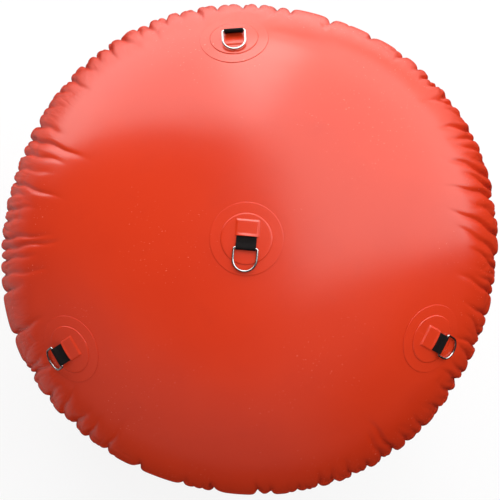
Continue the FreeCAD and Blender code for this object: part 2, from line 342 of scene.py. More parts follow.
def section(along):
    """Radius, height and slope of the smooth ring end, this far from its crown."""
    shoulder = np.minimum(along, BELLY)
    u = np.interp(shoulder, arc_table, u_table)
    drop = np.interp(shoulder, arc_table, drop_table)
    radius = belly_radius * np.sqrt(np.sin(u * u))
    return radius, drum_height - drop - (along - shoulder), u * u


rim_radius = float(section(RIM)[0])
print("belly", round(belly_radius, 4), "m; the rim is drawn in to", round(rim_radius, 4), "m")

# %% [markdown]
# ## The fittings' places
#
# Each fitting sits on the skin with its X axis along the webbing and Z away from the
# drum. Its direction and its ring's bar come from the frame's own hinges, so nothing has
# to be lined up by eye.

# %% Where the fittings are
BASE_RADIUS = 0.069
UPPER_RADIUS = 0.0485
DOUBLER_RADIUS = 0.062
CIRCLE = 0.423          # of the outer fittings, measured along the skin
hinges = {joint["name"]: joint for joint in frame["joints"]}


def fitting_frame(name, along, slit):
    """A fitting's matrix, the angle and distance of its middle, and its slit's place on X."""
    hinge = hinges[name + "_ring_swing"]
    bar = Vector(hinge["pos_m"])
    if along:
        angle = math.atan2(bar.y, bar.x)
    else:
        angle = math.atan2(hinge["axis"][1], hinge["axis"][0]) + math.pi / 2
    radius, height, slope = (float(value) for value in section(along))
    place = Vector((radius * math.cos(angle), radius * math.sin(angle), height))
    turn = Matrix.Rotation(angle, 4, "Z") @ Matrix.Rotation(slope, 4, "Y")
    matrix = Matrix.Translation(place) @ turn
    local = matrix.inverted() @ bar
    bar_mm = tuple(round(value * 1000, 1) for value in local)
    print(name, "faces", round(math.degrees(angle), 1), "degrees; bar at", bar_mm)
    return {"name": name, "matrix": matrix, "angle": angle, "along": along, "slit": slit, "bar": local}


fittings = [
    fitting_frame("centre", 0.0, -0.005),
    fitting_frame("left", CIRCLE, 0.006),
    fitting_frame("right", CIRCLE, 0.006),
    fitting_frame("far", CIRCLE, 0.006),
]

# %% [markdown]
# ## The valve's place
#
# The valve's frame has its Z along the cap's own hinge and its Y up the wall. Where the
# fittings and the valve are, the cloth is held flat, so their places are kept in one list
# for the folds to stay clear of.

# %% Where the valve is
valve_hinge = hinges["valve_cap_turn"]
valve_out = Vector(valve_hinge["axis"]).normalized()
valve_foot = Vector(valve_hinge["pos_m"])
valve_foot -= valve_out * (valve_foot.xy.length - belly_radius)
upwards = Vector((0, 0, 1))
valve_matrix = Matrix((upwards.cross(valve_out), upwards, valve_out)).transposed().to_4x4()
valve_matrix.translation = valve_foot
valve_angle = math.atan2(valve_out.y, valve_out.x)
valve_along = BELLY + float(section(BELLY)[1]) - valve_foot.z
HELD = [(fitting["angle"], fitting["along"]) for fitting in fittings[1:]]
HELD.append((valve_angle, valve_along))
print("valve at", round(math.degrees(valve_angle), 1), "degrees,", round(valve_along, 4), "m down")

# %% [markdown]
# ## Puckers
#
# Blowing up the drum draws its rim in by about an eighth, but the weld there is as long as
# before, so the spare cloth buckles into pleats that run in over the end and down the
# wall. Cloth simulation makes soft, even ones. Here each pleat has its own bearing, depth
# and reach, because around a real rim they change: long and crinkled on one side, short
# notches between flat stretches on another. `lean` tips a pleat sideways as it runs
# inwards, `skew` makes one of its flanks steeper, and `wander` bends its line. Lesser
# pleats stand between them. All are drawn from a table of sectors with a seeded random
# source, so they are the same in each run.

# %% The table of pleats
BUCKLING = (
    # from, to (degrees); spacing, depth, reach over the end, width of a fold (mm); lean
    (-62, -36, 40, 11.0, 150, 4.2, 0.10),
    (-36, -12, 40, 11.5, 180, 4.2, -0.10),
    (-12, 10, 36, 13.5, 190, 4.2, -0.36),
    (10, 32, 32, 14.0, 150, 4.2, -0.45),
    (32, 50, 34, 12.5, 90, 4.2, -0.20),
    (50, 78, 72, 13.0, 110, 4.2, 0.0),
    (78, 110, 44, 12.0, 100, 4.2, 0.0),
    (110, 150, 35, 13.5, 150, 4.6, 0.15),
    (150, 184, 30, 12.0, 225, 3.8, 0.0),
    (184, 205, 74, 13.0, 160, 4.0, 0.0),
    (205, 234, 46, 12.5, 190, 4.5, 0.0),
    (234, 270, 80, 12.0, 80, 4.0, 0.0),
    (270, 298, 46, 12.0, 110, 4.2, 0.0),
)
CRUMPLES = (
    # from, to (degrees), how many
    (150, 188, 24), (188, 240, 10), (-60, 0, 9), (40, 75, 7), (110, 150, 6),
)


def pleats_for(seed, turned):
    rng = random.Random(seed)
    pleats = []
    for start, end, spacing, depth, reach, fold, lean in BUCKLING:
        bearing = start
        while bearing < end:
            step = spacing * rng.uniform(0.68, 1.32)
            bearing += math.degrees(step / 1000 / rim_radius)
            deep = rng.uniform(0.6, 1.2)
            pleats.append({
                "bearing": math.radians(bearing + turned),
                "depth": depth / 1000 * deep,
                "reach": reach / 1000 * rng.uniform(0.6, 1.15) * math.sqrt(deep),
                "wall_reach": rng.uniform(0.13, 0.25),
                "fold": fold / 1000 * rng.uniform(0.8, 1.3),
                "lean": rng.gauss(lean, 0.12),
                "wander": rng.uniform(0, 2 * math.pi),
                "skew": rng.uniform(-0.5, 0.5),
            })
            for _ in range(rng.choice((0, 1, 1, 2))):
                aside = rng.uniform(0.3, 0.7) * step / 1000 / rim_radius
                pleats.append({
                    "bearing": math.radians(bearing + turned) - aside,
                    "depth": depth / 1000 * rng.uniform(0.12, 0.3),
                    "reach": reach / 1000 * rng.uniform(0.35, 0.75),
                    "wall_reach": rng.uniform(0.04, 0.09),
                    "fold": 0.003,
                    "lean": rng.gauss(lean, 0.3),
                    "wander": rng.uniform(0, 2 * math.pi),
                    "skew": 0.0,
                })
    return pleats


def creases_for(seed, turned):
    """Short crumples across the folds, most of them where the folds are closest together."""
    rng = random.Random(seed)
    creases = []
    for start, end, count in CRUMPLES:
        for _ in range(count):
            creases.append({
                "bearing": math.radians(rng.uniform(start, end) + turned),
                "along": RIM - rng.uniform(0.005, 0.095),
                "turned": rng.gauss(0.4, 0.4),
                "half": rng.uniform(0.010, 0.030),
                "depth": rng.uniform(0.0008, 0.0022),
                "fold": rng.uniform(0.0022, 0.0036),
            })
    return creases


ring_end_pleats = pleats_for(11, 0.0)
plain_end_pleats = pleats_for(5, 137.0)
ring_end_creases = creases_for(3, 0.0)
plain_end_creases = creases_for(8, 137.0)
print(len(ring_end_pleats), "folds at the ring end,", len(plain_end_pleats), "at the plain end")

# %% [markdown]
# ## From flat sheet to drum
#
# `on_drum` takes angles, distances and lifts, and gives points in space. The pleats push
# the smooth skin inwards along sharp valleys, which grow blunter away from the weld, and
# between them the spare cloth swells out in rounded lobes. Crumples are short dents across
# the lobes. The drum is also a little out of round, and the welded patches hold the cloth
# under them flat.

# %% Laying points on the skin
WANDER = 0.0020             # how far a pleat's line strays sideways
WANDER_LENGTH = 0.017       # over this length, for one radian
SHARPEST = 0.0007           # how blunt a valley is at the weld
BLUNTING = 0.018            # and how much blunter for each metre away from it
CRUMPLE_REACH = 0.035
LOBE_RISE = 0.0070          # of the spare cloth at the weld
LOBE_ON_END = 0.17
LOBE_ON_WALL = 0.16
SQUARE, SQUARE_TURN = 0.0115, math.radians(30.5)    # out of round, as shares of the radius
OVAL, OVAL_TURN = 0.0074, math.radians(7)
FOLDS_START = 0.049, 0.045  # from a fitting's middle, and the width over which the folds grow
SWELL_STARTS = 0.07, 0.13   # the same for being out of round


def wrapped(angle):
    return (angle + math.pi) % (2 * math.pi) - math.pi


def pleated(angle, along, pleats, creases):
    """How far the folds at one end push the skin out, negative inwards."""
    height = np.zeros_like(along)
    away = np.abs(along - RIM)
    inwards = rim_radius - section(along)[0]
    for pleat in pleats:
        fold, bearing = pleat["fold"], pleat["bearing"]
        across = wrapped(angle - bearing) * rim_radius + pleat["lean"] * inwards
        near = (np.abs(across) < 9 * fold) & (RIM - along < pleat["reach"])
        if not near.any():
            continue
        strayed = np.sin((RIM - along[near]) / WANDER_LENGTH + pleat["wander"])
        across = across[near] + WANDER * strayed
        inner = np.clip((along[near] - RIM + pleat["reach"]) / pleat["reach"], 0, 1) ** 1.4
        outer = np.clip(1 - (along[near] - RIM - 0.03) / pleat["wall_reach"], 0, 1) ** 1.1
        blunt = SHARPEST + BLUNTING * away[near]
        valley = np.sqrt(across ** 2 + blunt ** 2) - blunt
        fold = fold * (1 + pleat["skew"] * np.tanh(across / fold))
        height[near] -= pleat["depth"] * np.minimum(inner, outer) * np.exp(-valley / fold)
    for crease in creases:
        across = wrapped(angle - crease["bearing"]) * rim_radius
        up = along - crease["along"]
        near = (np.abs(across) < CRUMPLE_REACH) & (np.abs(up) < CRUMPLE_REACH)
        if not near.any():
            continue
        cosine, sine = math.cos(crease["turned"]), math.sin(crease["turned"])
        lengthways = across[near] * cosine + up[near] * sine
        sideways = up[near] * cosine - across[near] * sine
        fade = np.clip(1 - (lengthways / crease["half"]) ** 2, 0, 1)
        height[near] -= crease["depth"] * fade * np.exp(-np.abs(sideways) / crease["fold"])
    spare = np.clip((along - RIM + LOBE_ON_END) / LOBE_ON_END, 0, 1)
    spare = spare * np.clip(1 - (along - RIM) / LOBE_ON_WALL, 0, 1)
    return height + LOBE_RISE * spare


def bare(angle, along, inside, over):
    """0 around a fitting or the valve, as far as inside, then rising to 1 over a further width."""
    free = np.ones_like(along)
    for held_angle, held_along in HELD:
        reach = np.minimum(np.maximum(along, 0.1), BELLY)
        across = wrapped(angle - held_angle) * section(reach)[0]
        distance = np.hypot(across, along - held_along)
        free *= np.clip((distance - inside) / over, 0, 1)
    return free


def out_of_round(angle):
    return SQUARE * np.cos(4 * (angle - SQUARE_TURN)) + OVAL * np.cos(2 * (angle - OVAL_TURN))


def on_drum(angle, along, lift=0.0):
    """Points on the skin: the ring end's crown is at 0, and the plain end's at WHOLE."""
    angle, along = np.broadcast_arrays(np.asarray(angle, float), np.asarray(along, float))
    angle, along = angle.copy(), along.copy()
    top = along <= WHOLE / 2
    near = np.where(top, along, WHOLE - along)
    radius, height, slope = section(near)
    folds = np.where(
        top,
        pleated(angle, near, ring_end_pleats, ring_end_creases) * bare(angle, along, *FOLDS_START),
        pleated(angle, near, plain_end_pleats, plain_end_creases),
    )
    raised = folds + lift
    swell = out_of_round(angle) * (radius / belly_radius) ** 3 * bare(angle, along, *SWELL_STARTS)
    radius = radius * (1 + swell) + raised * np.sin(slope)
    height = height + raised * np.cos(slope)
    height = np.where(top, height, drum_height - height)
    return np.stack([radius * np.cos(angle), radius * np.sin(angle), height], axis=-1)


print("rim point", on_drum(0.0, RIM).round(4), "belly point", on_drum(0.0, BELLY).round(4))

# %% [markdown]
# ## Sheets
#
# Each sheet starts flat, as it would on the cutting table: radius stands for distance
# along the skin, and height for lift off it. A circle is grown outwards ring by ring with
# Extrude, and Subdivide doubles its points where the folds begin. The flat ring is then
# laid on the drum point by point. Solidify gives the single sheets their thickness.

# %% Helpers for sheets
DRUM_MIDDLE = Vector((0, 0, drum_height / 2))
AROUND = 1280               # points round the rims and the wall
PATCH_AROUND = 144          # points round a patch


def finish_mesh(name, bm, material, body="buoy", outwards_from=None):
    """Turns a bmesh into a piece that rides on a body."""
    if outwards_from is not None:
        bm.normal_update()
        facing = sum(face.normal.dot(face.calc_center_median() - outwards_from) for face in bm.faces)
        if facing < 0:
            bmesh.ops.reverse_faces(bm, faces=bm.faces)
    for face in bm.faces:
        face.smooth = True
    mesh = bpy.data.meshes.new(name)
    bm.to_mesh(mesh)
    bm.free()
    piece = bpy.data.objects.new(name, mesh)
    scene.collection.objects.link(piece)
    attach(piece, body)
    mesh.materials.append(material)
    print(name, len(mesh.vertices), "points,", len(mesh.polygons), "faces")
    return piece


def extruded(bm, edges):
    """Extrudes a row of edges, and gives its new points and its new edges."""
    grown = bmesh.ops.extrude_edge_only(bm, edges=edges)["geom"]
    fresh = [part for part in grown if isinstance(part, bmesh.types.BMVert)]
    grown_edges = [part for part in grown if isinstance(part, bmesh.types.BMEdge)]
    known = set(fresh)
    return fresh, [edge for edge in grown_edges if known.issuperset(edge.verts)]


def grown_flat(points, closed=False, around=AROUND, doubled_at=()):
    """Grows a flat ring or disc outwards through a row of (distance, lift) points."""
    bm = bmesh.new()
    disc = bool(points[0][0] == 0.0)
    (reach, lift), rest = (points[1], points[2:]) if disc else (points[0], points[1:])
    bmesh.ops.create_circle(bm, cap_ends=disc, cap_tris=disc, segments=around, radius=reach)
    bmesh.ops.translate(bm, verts=bm.verts, vec=(0, 0, lift))
    first = edge = [e for e in bm.edges if min(v.co.xy.length for v in e.verts) > reach / 2]
    for far, high in rest:
        if doubled_at and reach >= doubled_at[0]:
            doubled_at = doubled_at[1:]
            halves = bmesh.ops.subdivide_edges(bm, edges=edge, cuts=1)["geom_split"]
            edge = [part for part in halves if isinstance(part, bmesh.types.BMEdge)]
        fresh, edge = extruded(bm, edge)
        bmesh.ops.scale(bm, verts=fresh, vec=(far / reach, far / reach, 1))
        bmesh.ops.translate(bm, verts=fresh, vec=(0, 0, high - lift))
        reach, lift = far, high
    if closed:
        bmesh.ops.bridge_loops(bm, edges=first + edge)
    bmesh.ops.recalc_face_normals(bm, faces=bm.faces)
    return bm


def lay(bm, place):
    """Lays flat points on the drum: place gives the angle and distance for their x and y."""
    flat = np.array([vert.co for vert in bm.verts])
    angle, along = place(flat[:, 0], flat[:, 1])
    for vert, point in zip(bm.verts, on_drum(angle, along, flat[:, 2])):
        vert.co = point


def lay_on_drum(bm, from_plain_end=False):
    def place(x, y):
        along = np.hypot(x, y)
        return np.arctan2(y, x), WHOLE - along if from_plain_end else along

    lay(bm, place)
    pole = [vert for vert in bm.verts if vert.co.xy.length < 1e-5]
    bmesh.ops.remove_doubles(bm, verts=pole, dist=1e-4)


def solidify(piece, thickness, offset=-1.0):
    modifier = piece.modifiers.new("Thickness", "SOLIDIFY")
    modifier.thickness = thickness
    modifier.offset = offset


def evenly(start, end, step):
    count = max(1, round(abs(end - start) / step))
    return [start + (end - start) * i / count for i in range(count + 1)]


END_STATIONS = evenly(0.0, 0.36, 0.024) + evenly(0.36, RIM, 0.007)[1:]
SHOULDER_STATIONS = evenly(RIM, RIM + 0.048, 0.006) + evenly(RIM + 0.048, BELLY, 0.012)[1:]
print(len(END_STATIONS), "rings of points on an end,", len(SHOULDER_STATIONS), "on a shoulder")

# %% [markdown]
# ## Crinkles at the rims
#
# Between the pleats the gathered cloth is finely crinkled, too finely for points. A noise
# gives the lines: its distance from one half, where it crosses from dark to light, is a
# row of sharp creases. It reads the bearing and very little of the way in, so the creases
# run inwards like the pleats. They fade over the smooth middle, and are strongest on the
# left, where the rim is most crinkled.

# %% Crinkles


def rim_crinkles(shade, place):
    outwards = shade.node("VectorMath", {"operation": "MULTIPLY"}, {0: place, 1: (1, 1, 0)})
    bearing = shade.node("VectorMath", {"operation": "NORMALIZE"}, {0: outwards})
    reach = shade.node("VectorMath", {"operation": "LENGTH"}, {0: outwards}, 1)
    height = shade.node("SeparateXYZ", None, {0: place}, 2)
    run = shade.node("CombineXYZ", None, {2: 0.14 * (height - reach)})
    turn_and_run = {0: bearing, 1: (0.55, 0.55, 0.55), 2: run}
    skewed = shade.node("VectorMath", {"operation": "MULTIPLY_ADD"}, turn_and_run)
    crinkle = (noise(shade, skewed, 52.0, detail=2.0, roughness=0.45) - 0.5).size()
    crumple = (noise(shade, place, 21.0, detail=1.0) - 0.5).size()
    on_left = (shade.node("SeparateXYZ", None, {0: bearing}) * -1.0).step(0.35, 0.95)
    at_rim = reach.step(0.425, 0.515) * (0.35 + 0.65 * on_left)
    folded = crinkle + 0.3 * crumple
    return bump(shade, folded.at_most(0.2) * at_rim, 0.4, 0.011)


# %% [markdown]
# ## Coated cloth
#
# The cloth is polyester coated on both sides with soft orange PVC. Its shine is broken
# only a little: faint waves left by the rollers, a hint of the weave under the coating,
# cloudy patches where it was handled, a few rubbed streaks and pale grains of dust. All
# of these read Object coordinates, so they stay put on the drum. The weave is two fine
# waves, and fades with distance because its bump is so low. The welded pieces are cut from
# the same cloth and look a touch brighter.

# %% Finish of the coated cloth


def coated_cloth(name, orange, deep, roughness):
    material, shade, shader = new_finish(name, IOR=1.53, Specular_IOR_Level=0.6)
    place = object_place(shade)
    cloud = noise(shade, place, 3.2, detail=3.0).step(0.35, 0.68)
    grime = noise(shade, place, 17.0, detail=5.0, roughness=0.62)
    dust = noise(shade, place, 300.0, detail=1.0).step(0.745, 0.78)
    dusty = noise(shade, place, 6.0, detail=2.0).step(0.50, 0.66)
    rub = noise(shade, place, 6.0, detail=3.0, stretch=(1.0, 2.5, 1.0))
    rubbed = rub.step(0.60, 0.74)
    specks = dust * dusty
    base = cloud.mix(orange, deep)
    base = (grime.step(0.5, 0.85) * 0.12).mix(base, colour(0.50, 0.022, 0.008))
    base = (specks * 0.5).mix(base, colour(0.92, 0.36, 0.22))
    rough = roughness + 0.04 * grime + 0.015 * rubbed + 0.25 * specks
    rollers = noise(shade, place, 7.0, detail=2.0)
    orange_peel = noise(shade, place, 420.0, detail=2.0)
    weave_x = shade.node("TexWave", {"bands_direction": "X"}, {"Vector": place, "Scale": 260.0})
    weave_y = shade.node("TexWave", {"bands_direction": "Y"}, {"Vector": place, "Scale": 260.0})
    broad = bump(shade, rollers + 0.15 * grime, 0.18, 0.004, below=rim_crinkles(shade, place))
    fine = bump(shade, (weave_x + weave_y) * 0.5 + orange_peel * 0.4, 0.025, 0.0004, below=broad)
    feed(shader, Base_Color=base, Roughness=rough, Normal=fine)
    return material


SHINE = 0.23
pvc = coated_cloth("Coated cloth", colour(0.70, 0.041, 0.009), colour(0.66, 0.036, 0.008), SHINE)
weld_pvc = coated_cloth("Welded cloth", colour(0.715, 0.043, 0.010), colour(0.675, 0.038, 0.009), SHINE)

# %% [markdown]
# ## End panels and wall
#
# The ring end and the plain end are the same disc of cloth, and the wall is one long
# strip rolled into a tube. Their points are closest together at the rims, where the
# folds are, and wide apart over the smooth middle.

# %% End panels and wall
DOUBLED_AT = (0.30, 0.38)   # where an end's points are doubled, from the crown
end_rows = [(along, 0.0) for along in END_STATIONS]
ring_end = grown_flat(end_rows, around=AROUND // 4, doubled_at=DOUBLED_AT)
lay_on_drum(ring_end)
ring_end = finish_mesh("Ring_end_skin", ring_end, pvc, outwards_from=DRUM_MIDDLE)
solidify(ring_end, FABRIC)
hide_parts("ring_end_panel")

plain_end = grown_flat(end_rows, around=AROUND // 4, doubled_at=DOUBLED_AT)
lay_on_drum(plain_end, from_plain_end=True)
plain_end = finish_mesh("Plain_end_skin", plain_end, pvc, outwards_from=DRUM_MIDDLE)
solidify(plain_end, FABRIC)
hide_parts("plain_end_panel")

wall_rows = SHOULDER_STATIONS + evenly(BELLY, WHOLE - BELLY, 0.08)[1:-1]
wall_rows += [WHOLE - along for along in reversed(SHOULDER_STATIONS)]
wall = grown_flat([(along, 0.0) for along in wall_rows])
lay_on_drum(wall)
wall = finish_mesh("Side_wall_skin", wall, pvc, outwards_from=DRUM_MIDDLE)
solidify(wall, FABRIC)
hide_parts("side_wall")

# %% [markdown]
# ## Rim tapes
#
# A strip of the same cloth is welded over each rim joint. It is a closed band: its
# section is a thin rectangle, grown as one ring and laid on the drum like the cloth below,
# so that it follows every pleat. Both edges are pressed thin, the one at the rim over a
# wider band.

# %% Rim tapes
TAPE_START = RIM - 0.006
TAPE_END = TAPE_START + 0.042
TAPE_EDGE = 0.0003          # the tape's thickness at its edges


def rim_tape(name, node, places):
    low = [(place, BOND) for place in places]
    ends = (places[0], places[-1])
    by_rim, by_wall = sorted(ends, key=lambda place: abs(min(place, WHOLE - place) - RIM))
    high = []
    for place in reversed(places):
        from_edge = min(abs(place - by_rim) / 0.006, abs(place - by_wall) / 0.002, 1.0)
        high.append((place, BOND + TAPE_EDGE + (FABRIC - TAPE_EDGE) * from_edge))
    tape = grown_flat(low + high, closed=True)
    lay_on_drum(tape)
    piece = finish_mesh(name, tape, weld_pvc)
    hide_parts(node)


tape_places = [TAPE_START, TAPE_START + 0.0006, RIM - 0.003]
tape_places += [place for place in SHOULDER_STATIONS if place < TAPE_END - 0.001]
tape_places += [TAPE_END]
rim_tape("Ring_end_tape", "ring_end_rim_tape", tape_places)
rim_tape("Plain_end_tape", "plain_end_rim_tape", [WHOLE - place for place in tape_places])

# %% [markdown]
# ## The upright lap
#
# The wall's strip is closed by a lap weld from one rim to the other. It is a narrow part
# of the same flat ring: a short row of points, extruded outwards through the wall's rings
# of points and laid on the drum.

# %% Side wall lap
LAP_ANGLE = math.radians(35)
LAP_WIDTH = 0.040
LAP_COLUMNS = 8
LAP_GAP = 0.0003            # between the lap and the tapes


def wall_strip(middle_angle, width, places, lift):
    bm = bmesh.new()
    spread = width / belly_radius
    row = []
    for i in range(LAP_COLUMNS + 1):
        angle = middle_angle + spread * (i / LAP_COLUMNS - 0.5)
        row.append(bm.verts.new((places[0] * math.cos(angle), places[0] * math.sin(angle), lift)))
    edge = [bm.edges.new(pair) for pair in zip(row, row[1:])]
    for near, far in zip(places, places[1:]):
        fresh, edge = extruded(bm, edge)
        bmesh.ops.scale(bm, verts=fresh, vec=(far / near, far / near, 1))
    return bm


lap_rows = [TAPE_END + LAP_GAP]
lap_rows += [place for place in wall_rows if TAPE_END + 0.002 < place < WHOLE - TAPE_END - 0.002]
lap_rows.append(WHOLE - TAPE_END - LAP_GAP)
lap = wall_strip(LAP_ANGLE, LAP_WIDTH, lap_rows, BOND + FABRIC)
lay_on_drum(lap)
lap = finish_mesh("Side_wall_lap", lap, weld_pvc, outwards_from=DRUM_MIDDLE)
solidify(lap, FABRIC)
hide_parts("side_wall_lap")

# %% [markdown]
# ## Laying a patch
#
# A patch is made flat in its fitting's own frame. To lay it down, each of its points needs
# the place on the skin that is straight below it: the guess is moved by the error that is
# left, a few times over, until it fits. For the middle fitting, which sits on the crown,
# the place follows straight from the skin's table.

# %% Laying patches


def place_under(fitting, x, y):
    """The angle and distance of the skin's points under points of a fitting's own plane."""
    matrix = np.array(fitting["matrix"].inverted())
    if not fitting["along"]:
        reach = np.hypot(x, y)
        along = np.interp(reach, belly_radius * root_sine, arc_table)
        return fitting["angle"] + np.arctan2(y, x), along
    radius = float(section(fitting["along"])[0])
    angle, along = fitting["angle"] + y / radius, fitting["along"] + x
    for _ in range(9):
        radius, height, _slope = section(along)
        across = [radius * np.cos(angle), radius * np.sin(angle)]
        local = matrix @ np.stack(across + [height, np.ones_like(height)])
        along = along + (x - local[0])
        angle = angle + (y - local[1]) / radius
    return angle, along


far_edge = place_under(fittings[1], BASE_RADIUS, 0.0)
print("far edge of the left patch: angle and distance", np.round(far_edge, 4))

# %% [markdown]
# ## Round patches
#
# A patch is a closed disc of cloth, welded down flat, with a small bead squeezed up round
# its edge. The four fittings have one each, and the valve's doubler is a fifth.

# %% Base patches
CELL = 0.0025               # between a patch's rings of points


def round_patch(radius, low, high):
    """A flat closed disc with a bead round its edge."""
    row = [(place, high) for place in evenly(0.0, radius - 0.0028, CELL)]
    row += [(radius - 0.0014, high + 0.00003), (radius - 0.0006, high)]
    row += [(radius - 0.0002, high - 0.0001), (radius, high - 0.0004), (radius, low)]
    row += [(place, low) for place in reversed(evenly(CELL, radius - 0.0028, CELL))]
    bm = grown_flat(row, around=PATCH_AROUND)
    rim = [edge for edge in bm.edges if edge.is_boundary]
    bmesh.ops.holes_fill(bm, edges=rim, sides=0)
    bmesh.ops.recalc_face_normals(bm, faces=bm.faces)
    return bm


BASE_TOP = BOND + FABRIC
for fitting in fittings:
    patch = round_patch(BASE_RADIUS, BOND, BASE_TOP)
    lay(patch, lambda x, y: place_under(fitting, x, y))
    piece = finish_mesh(fitting["name"] + "_base_disc", patch, weld_pvc)
    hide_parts(fitting["name"] + "_base_patch")

doubler = round_patch(DOUBLER_RADIUS, BOND, BASE_TOP)
lay(doubler, lambda x, y: (valve_angle + x / belly_radius, valve_along - y))
piece = finish_mesh("Valve_doubler", doubler, weld_pvc)
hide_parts("valve_patch")

# %% [markdown]
# ## Slit patches
#
# The upper patch lies on the base patch and rises over the hidden tail of the webbing,
# which comes out through a slit. The slit needs a clean edge, so the flat disc is cut
# with Bisect along the slit and along the foot and top of the rise, and then its points
# are lifted by how far they are from the tail's outline. Along the slit the cloth arches
# up a little more, as a lip over the webbing.

# %% Upper patches
WEBBING_WIDTH = 0.038
PLY = 0.0014
TAIL = 0.028                # of webbing under the patch
SLOPE = 0.0035              # width of the rise's flank
LIP_REACH = 0.006
UPPER_TOP = BASE_TOP + BOND + FABRIC


def eased(value):
    value = min(1.0, max(0.0, value))
    return value * value * (3 - 2 * value)


def pocket_rise(x, y):
    """The rise over the tail, x measured back from the slit, with the lip at the slit."""
    if x > 1e-5:
        return 0.0
    end = 1 - eased((-TAIL - x) / SLOPE)
    side = 1 - eased((abs(y) - WEBBING_WIDTH / 2) / SLOPE)
    arch = max(0.0, 1 - (y / (WEBBING_WIDTH / 2)) ** 2)
    lip = (0.0005 + 0.0015 * arch) * eased((x + LIP_REACH) / LIP_REACH)
    return 2 * PLY * end * side + lip * side


def slit_patch(fitting):
    bm = grown_flat([(place, 0.0) for place in evenly(0.0, UPPER_RADIUS, 0.0020)], around=PATCH_AROUND)
    slit = fitting["slit"]
    across_webbing = (0.0, 0.0003, -0.002, -0.004, -LIP_REACH, -TAIL, -TAIL - SLOPE)
    beside_webbing = (0.0, 0.0012, 0.0024, SLOPE)
    cuts = [(slit + offset, 0) for offset in across_webbing]
    cuts += [(0, side * (WEBBING_WIDTH / 2 + offset)) for side in (1, -1) for offset in beside_webbing]
    for x, y in cuts:
        geometry = list(bm.verts) + list(bm.edges) + list(bm.faces)
        facing = (1, 0, 0) if x else (0, 1, 0)      # a cut through the very middle runs lengthways
        bmesh.ops.bisect_plane(bm, geom=geometry, plane_co=(x, y, 0), plane_no=facing)
    for vert in bm.verts:
        from_edge = UPPER_RADIUS - vert.co.xy.length
        pressed = 0.0003 * max(0.0, 1 - from_edge / 0.0008)
        vert.co.z = UPPER_TOP - pressed + pocket_rise(vert.co.x - slit, vert.co.y)
    return bm


for fitting in fittings:
    patch = slit_patch(fitting)
    lay(patch, lambda x, y: place_under(fitting, x, y))
    name = fitting["name"] + "_slit_disc"
    piece = finish_mesh(name, patch, weld_pvc, outwards_from=DRUM_MIDDLE)
    solidify(piece, FABRIC)
    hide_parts(fitting["name"] + "_upper_patch")

# %% [markdown]
# ## Woven webbing
#
# The loops are black webbing, 38 mm wide. Its weave has to turn round the ring's bar with
# the ribbon, so the yarns are waves in UV coordinates: across the ribbon, and along its
# length. Weft and warp make the grid and a slower wave the twill. The fuzz of fine fibres
# makes it dull, and worn places are paler.

# %% Finish of the webbing


def woven_webbing(name):
    material, shade, shader = new_finish(name, IOR=1.36, Specular_IOR_Level=0.3)
    uv = shade.node("UVMap", {"uv_map": "Ribbon"})
    across = shade.node("SeparateXYZ", None, {0: uv})
    length = shade.node("SeparateXYZ", None, {0: uv}, 1)
    weft = (length * (2 * math.pi / 0.0017)).sine()
    warp = (across * (2 * math.pi / 0.0019)).sine()
    twill = ((across + length) * (2 * math.pi / 0.0038)).sine()
    yarns = 0.5 * weft * warp + 0.3 * twill + 0.4 * warp
    fuzz = noise(shade, uv, 900.0, detail=3.0)
    worn = noise(shade, uv, 60.0, detail=3.0).step(0.45, 0.8)
    tone = (0.35 * yarns + 0.5 * fuzz + 0.25).clamped()
    base = tone.mix(colour(0.0020, 0.0013, 0.0013), colour(0.0095, 0.0065, 0.0065))
    base = (worn * 0.2).mix(base, colour(0.020, 0.014, 0.013))
    relief = bump(shade, yarns + 0.4 * fuzz, 0.7, 0.0004)
    feed(shader, Base_Color=base, Roughness=0.72 + 0.2 * fuzz, Normal=relief)
    return material


webbing_finish = woven_webbing("Woven webbing")

# %% [markdown]
# ## Webbing loops
#
# A loop is one ribbon: out of the slit, round the ring's bar and back. It is worked out
# from the side. First comes the middle line between its two plies, with the direction it
# runs in at each point: along the tail, round a bend where the loop stands up from the
# patch, and straight to the bar. The plies lie to either side of that line and part near
# the bar, and an arc joins them round it. The line is then extruded across the width, and
# Solidify makes it a ply thick.

# %% Side view of a loop
WIRE = 0.00225              # the ring's wire, its radius
EYE = WIRE + 0.0001
TAIL_MIDDLE = BASE_TOP + BOND + PLY
BEND = 0.006                # radius of the middle line's bend
PARTING = 0.011             # from the bar, where the plies part
PLY_GAP = 0.00002
RISES = {"centre": 0.0, "left": 28.0, "right": 0.0, "far": 165.0}   # degrees off the patch


def loop_line(fitting):
    """The ribbon's side view, in the fitting's XZ plane: out along the lower ply and back."""
    bar = Vector((fitting["bar"].x, fitting["bar"].z))
    mouth = Vector((fitting["slit"], TAIL_MIDDLE))
    tail_end = mouth + Vector((-TAIL + 0.001, 0))
    rise = math.radians(RISES[fitting["name"]])
    middle = [(tail_end, 0.0), (mouth + Vector((-TAIL / 2, 0)), 0.0), (mouth, 0.0)]
    if rise:
        for i in range(1, 13):
            turned = rise * i / 12
            middle.append((mouth + BEND * Vector((math.sin(turned), 1 - math.cos(turned))), turned))
    else:
        rise = math.atan2(bar.y - mouth.y, bar.x - mouth.x)
    start = middle[-1][0]
    opening = min(PARTING, (bar - start).length * 0.9)
    for i in range(1, 25):
        middle.append((start + (bar - start) * i / 24, rise))
    lower, upper = [], []
    for point, slope in middle:
        to_bar = 1.0 if point is tail_end else (bar - point).length     # the tail's end stays shut
        spread = PLY / 2 + PLY_GAP + (EYE - PLY_GAP) * eased(1 - to_bar / opening)
        across = Vector((-math.sin(slope), math.cos(slope)))
        lower.append(point - across * spread)
        upper.append(point + across * spread)
    around = []
    for i in range(1, 16):
        turned = rise - math.pi / 2 + math.pi * i / 16
        around.append(bar + (EYE + PLY / 2) * Vector((math.cos(turned), math.sin(turned))))
    return lower + around + upper[::-1]


